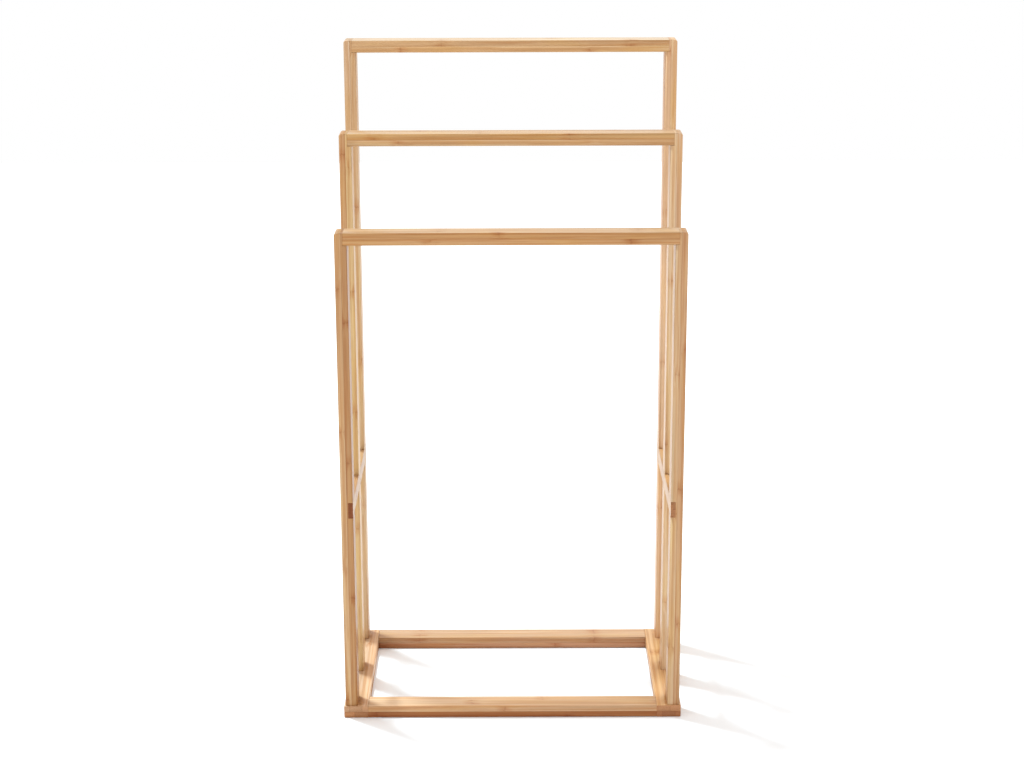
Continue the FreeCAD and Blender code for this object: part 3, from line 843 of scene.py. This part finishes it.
fastener = fastenerTree()
finishes = {"screw_steel": steelMaterial(), "dowel_wood": beechMaterial()}
finishes["pin_steel"] = finishes["screw_steel"]
for node, kind in fastenerKinds.items():
    points = bpy.data.meshes.new(node)
    aims = []
    spots = []
    for low, high in islandBoxes(node):
        centre = (low + high) / 2
        size = high - low
        axis = max(range(3), key=lambda number: size[number])
        # heads look down, outwards, or for the pins inwards
        if node == "post_foot_screws":
            aim = Vector((0, 0, -1))
        else:
            outward = 1 if centre.x > 0 else -1
            aim = Vector((-outward if node == "stretcher_pins" else outward, 0, 0))
        spots.append(centre + aim * size[axis] / 2)
        aims.extend(aim)
    points.from_pydata(spots, [], [])
    points.attributes.new("aim", "FLOAT_VECTOR", "POINT").data.foreach_set("vector", aims)
    piece = bpy.data.objects.new(pieceName(node), points)
    bpy.context.scene.collection.objects.link(piece)
    values = {name.replace(" ", "_"): value for name, value in kind.items() if name != "slot"}
    runTree(piece, fastener, Length=size[axis], Material=finishes[kind["slot"]], **values)
    shadeSmooth(piece, fastenerSmoothUnder)
    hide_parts(node)
    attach(piece, body)
    print(pieceName(node), len(spots), "pieces,", len(piece.data.polygons), "faces")


studio = {
    "floor": 8.0,             # side of the floor
    "floorHeight": -0.0003,   # a hair under the feet, so that the two never share a plane
    "floorColor": (0.92, 0.92, 0.92, 1.0),
    "floorRoughness": 0.9,
    "world": 1.0,
    "worldColor": (1, 1, 1, 1),
    "lampAim": (0, 0, 0.3),
}

# a wide lamp above, and a smaller one behind and to the left, which casts the posts' shadows
lamps = {
    "overhead": {"place": (0.2, 0.3, 6.3), "side": 5.0, "watts": 40.0, "color": (1, 1, 1)},
    "key": {"place": (-1.35, 1.06, 6.7), "side": 0.5, "watts": 500.0, "color": (0.68, 0.88, 1.0)},
}

stageMesh = bpy.data.meshes.new("studioFloor")
half = studio["floor"] / 2
corners = [(x, y, studio["floorHeight"]) for x, y in ((-half, -half), (half, -half),
                                                      (half, half), (-half, half))]
stageMesh.from_pydata(corners, [], [(0, 1, 2, 3)])
floor = bpy.data.objects.new("studioFloor", stageMesh)
bpy.context.scene.collection.objects.link(floor)
paper = bpy.data.materials.new("studioPaper")
paper.use_nodes = True
paperInputs = paper.node_tree.nodes["Principled BSDF"].inputs
paperInputs["Base Color"].default_value = studio["floorColor"]
paperInputs["Roughness"].default_value = studio["floorRoughness"]
stageMesh.materials.append(paper)

world = bpy.data.worlds.new("studioWorld")
world.use_nodes = True
worldInputs = world.node_tree.nodes["Background"].inputs
worldInputs["Color"].default_value = studio["worldColor"]
worldInputs["Strength"].default_value = studio["world"]
bpy.context.scene.world = world
bpy.context.scene.view_settings.view_transform = "Standard"

for name, lamp in lamps.items():
    light = bpy.data.lights.new(name, "AREA")
    light.color = lamp["color"]
    light.shape = "SQUARE"
    light.size = lamp["side"]
    light.energy = lamp["watts"]
    holder = bpy.data.objects.new(name, light)
    bpy.context.scene.collection.objects.link(holder)
    holder.location = lamp["place"]
    toward = Vector(studio["lampAim"]) - Vector(lamp["place"])
    holder.rotation_euler = toward.to_track_quat("-Z", "Y").to_euler()
print("floor and lamps:", len(lamps), "lamps")

view = {
    "place": (-0.003, -2.525, 1.105),
    "lens": 73.441,
    "sensor": 36,
    "down": 15.665,           # degrees below the horizon
    "yaw": 0.084,             # degrees, as is the roll
    "roll": -0.154,
}
lensData = bpy.data.cameras.new("camera")
lensData.lens = view["lens"]
lensData.sensor_width = view["sensor"]
camera = bpy.data.objects.new("camera", lensData)
bpy.context.scene.collection.objects.link(camera)
camera.location = view["place"]
upright = Euler((math.radians(90 - view["down"]), 0, math.radians(-view["yaw"])), "XYZ")
roll = Euler((0, 0, math.radians(view["roll"])))
camera.rotation_euler = (upright.to_matrix() @ roll.to_matrix()).to_euler()
bpy.context.scene.camera = camera
print("camera set")
